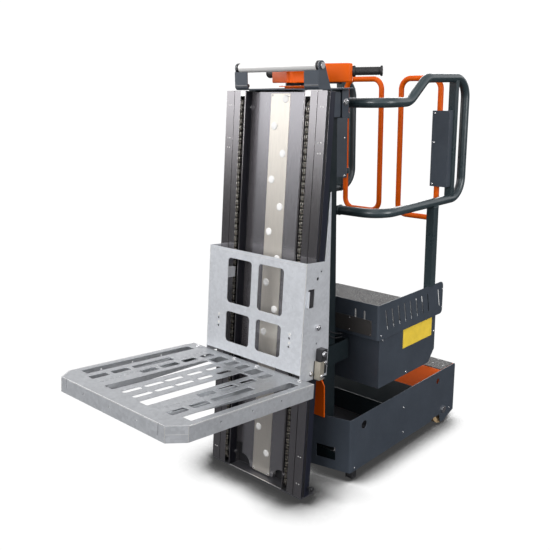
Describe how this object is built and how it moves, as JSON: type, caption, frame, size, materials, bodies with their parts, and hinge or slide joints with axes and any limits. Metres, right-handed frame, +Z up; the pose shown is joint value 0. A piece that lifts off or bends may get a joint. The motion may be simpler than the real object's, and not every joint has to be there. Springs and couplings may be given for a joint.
{
  "type": "order picker",
  "caption": "Low-level order picker: battery base on small wheels, telescopic lift, operator cage with swing gates and guard rails, and a leaning front mast carrying a folding load tray.",
  "frame": {"origin": "centre of the bounding box in plan, on the floor under the wheels", "axes": "+Z is up, the load tray faces -Y, the operator steps in from +Y, +X is the right side for someone who faces the tray from the front"},
  "size_m": [0.712, 1.8572, 1.78],
  "materials": {
    "orange_paint": "satin",
    "slate_paint": "fine textured satin",
    "tube_paint": "satin",
    "dark_steel": "satin",
    "black_plastic": "matte",
    "chain_steel": "oiled",
    "bright_steel": "polished",
    "aluminium": "satin anodised",
    "stainless": "brushed",
    "galvanised": "galvanised",
    "mat_rubber": "grained",
    "white_plastic": "satin",
    "tyre_tan": "satin",
    "tyre_black": "matte",
    "grip_rubber": "matte"
  },
  "bodies": {
    "chassis": {"chassis_frame": "orange_paint", "floor_pan": "dark_steel", "side_panel_right": "slate_paint", "side_panel_left": "slate_paint", "rear_deck_mat": "mat_rubber", "battery_pack": "black_plastic", "drive_motors": "dark_steel", "outer_mast": "tube_paint", "panel_screws": "bright_steel", "rear_axles": "bright_steel", "lift_cylinder": "black_plastic"},
    "rear_wheel_right": {"rear_wheel_right": "tyre_tan"},
    "rear_wheel_left": {"rear_wheel_left": "tyre_tan"},
    "caster_right": {"caster_fork_right": "black_plastic"},
    "caster_left": {"caster_fork_left": "black_plastic"},
    "caster_wheel_right": {"caster_wheel_right": "tyre_black"},
    "caster_wheel_left": {"caster_wheel_left": "tyre_black"},
    "inner_stage": {"inner_mast": "aluminium", "inner_slides": "white_plastic", "lift_rod": "bright_steel", "lift_chain": "chain_steel"},
    "sheave": {"chain_sheave": "dark_steel"},
    "cage": {"carriage_frame": "tube_paint", "carriage_slides": "white_plastic", "mast_rail_right": "aluminium", "mast_rail_left": "aluminium", "centre_panel": "aluminium", "face_plate": "stainless", "plate_caps": "white_plastic", "mast_foot_plate": "dark_steel", "head_plate": "slate_paint", "tray_chains": "chain_steel", "sprocket_pins": "bright_steel", "platform_box": "slate_paint", "platform_deck": "slate_paint", "platform_mat": "mat_rubber", "toe_guard": "slate_paint", "blank_plates": "dark_steel", "guard_rail_right": "tube_paint", "guard_rail_left": "tube_paint", "hinge_covers": "slate_paint", "rail_clamps": "slate_paint", "cage_screws": "bright_steel", "steering_base": "orange_paint", "roller_axle": "bright_steel"},
    "sprocket_top_right": {"sprocket_top_right": "dark_steel"},
    "sprocket_top_left": {"sprocket_top_left": "dark_steel"},
    "sprocket_bottom_right": {"sprocket_bottom_right": "dark_steel"},
    "sprocket_bottom_left": {"sprocket_bottom_left": "dark_steel"},
    "roller": {"top_roller": "aluminium"},
    "steering": {"handlebar": "orange_paint", "handle_grips": "grip_rubber"},
    "gate_right": {"gate_right": "orange_paint"},
    "gate_left": {"gate_left": "orange_paint"},
    "tray_carriage": {"tray_apron": "galvanised", "tray_lock_block": "dark_steel", "tray_pins": "bright_steel"},
    "tray": {"load_tray": "galvanised", "tray_bolts": "white_plastic"},
    "latch": {"latch_plunger": "white_plastic"}
  },
  "joints": [
    {"name": "cage_lift", "type": "slide", "parent": "chassis", "child": "cage", "axis": [0, 0, 1], "range_m": [0, 1.7]},
    {"name": "inner_stage_lift", "type": "slide", "parent": "chassis", "child": "inner_stage", "axis": [0, 0, 1], "range_m": [0, 0.85], "deforming": ["lift_chain"]},
    {"name": "sheave_spin", "type": "hinge", "parent": "inner_stage", "child": "sheave", "pos_m": [0.043, 0.1356, 1.495], "axis": [1, 0, 0], "continuous": true},
    {"name": "tray_lift", "type": "slide", "parent": "cage", "child": "tray_carriage", "axis": [0, 0.0976, 0.9952], "range_m": [-0.42, 0.36]},
    {"name": "sprocket_top_right_spin", "type": "hinge", "parent": "cage", "child": "sprocket_top_right", "pos_m": [0.181, -0.01923, 1.60069], "axis": [1, 0, 0], "continuous": true},
    {"name": "sprocket_bottom_right_spin", "type": "hinge", "parent": "cage", "child": "sprocket_bottom_right", "pos_m": [0.181, -0.16951, 0.06804], "axis": [1, 0, 0], "continuous": true},
    {"name": "sprocket_top_left_spin", "type": "hinge", "parent": "cage", "child": "sprocket_top_left", "pos_m": [-0.181, -0.01923, 1.60069], "axis": [1, 0, 0], "continuous": true},
    {"name": "sprocket_bottom_left_spin", "type": "hinge", "parent": "cage", "child": "sprocket_bottom_left", "pos_m": [-0.181, -0.16951, 0.06804], "axis": [1, 0, 0], "continuous": true},
    {"name": "tray_fold", "type": "hinge", "parent": "tray_carriage", "child": "tray", "pos_m": [0, -0.24049, 0.55329], "axis": [-1, 0, 0], "range_deg": [0, 85]},
    {"name": "latch_pull", "type": "slide", "parent": "tray_carriage", "child": "latch", "axis": [1, 0, 0], "range_m": [0, 0.008], "stiffness_N_per_m": 400},
    {"name": "steering", "type": "hinge", "parent": "cage", "child": "steering", "pos_m": [0, 0.0776, 1.69], "axis": [0, 0, 1], "range_deg": [-30, 30]},
    {"name": "roller_spin", "type": "hinge", "parent": "cage", "child": "roller", "pos_m": [0, -0.0274, 1.761], "axis": [1, 0, 0], "continuous": true},
    {"name": "gate_right_swing", "type": "hinge", "parent": "cage", "child": "gate_right", "pos_m": [0.269, 0.7776, 1.389], "axis": [0, 0, 1], "range_deg": [0, 85]},
    {"name": "gate_left_swing", "type": "hinge", "parent": "cage", "child": "gate_left", "pos_m": [-0.269, 0.7776, 1.389], "axis": [0, 0, -1], "range_deg": [0, 85]},
    {"name": "rear_wheel_right_spin", "type": "hinge", "parent": "chassis", "child": "rear_wheel_right", "pos_m": [0.297, 0.8276, 0.075], "axis": [1, 0, 0], "continuous": true},
    {"name": "caster_right_swivel", "type": "hinge", "parent": "chassis", "child": "caster_right", "pos_m": [0.308, 0.0796, 0.06], "axis": [0, 0, 1], "continuous": true},
    {"name": "caster_wheel_right_spin", "type": "hinge", "parent": "caster_right", "child": "caster_wheel_right", "pos_m": [0.308, 0.0886, 0.02], "axis": [1, 0, 0], "continuous": true},
    {"name": "rear_wheel_left_spin", "type": "hinge", "parent": "chassis", "child": "rear_wheel_left", "pos_m": [-0.297, 0.8276, 0.075], "axis": [1, 0, 0], "continuous": true},
    {"name": "caster_left_swivel", "type": "hinge", "parent": "chassis", "child": "caster_left", "pos_m": [-0.308, 0.0796, 0.06], "axis": [0, 0, 1], "continuous": true},
    {"name": "caster_wheel_left_spin", "type": "hinge", "parent": "caster_left", "child": "caster_wheel_left", "pos_m": [-0.308, 0.0886, 0.02], "axis": [1, 0, 0], "continuous": true}
  ],
  "couplings": [
    {"joint": "inner_stage_lift", "follows": "cage_lift", "ratio": 0.5},
    {"joint": "sheave_spin", "follows": "cage_lift", "rad_per_m": -16.026},
    {"joint": "sprocket_top_right_spin", "follows": "tray_lift", "rad_per_m": 26.667},
    {"joint": "sprocket_bottom_right_spin", "follows": "tray_lift", "rad_per_m": 26.667},
    {"joint": "sprocket_top_left_spin", "follows": "tray_lift", "rad_per_m": 26.667},
    {"joint": "sprocket_bottom_left_spin", "follows": "tray_lift", "rad_per_m": 26.667}
  ]
}
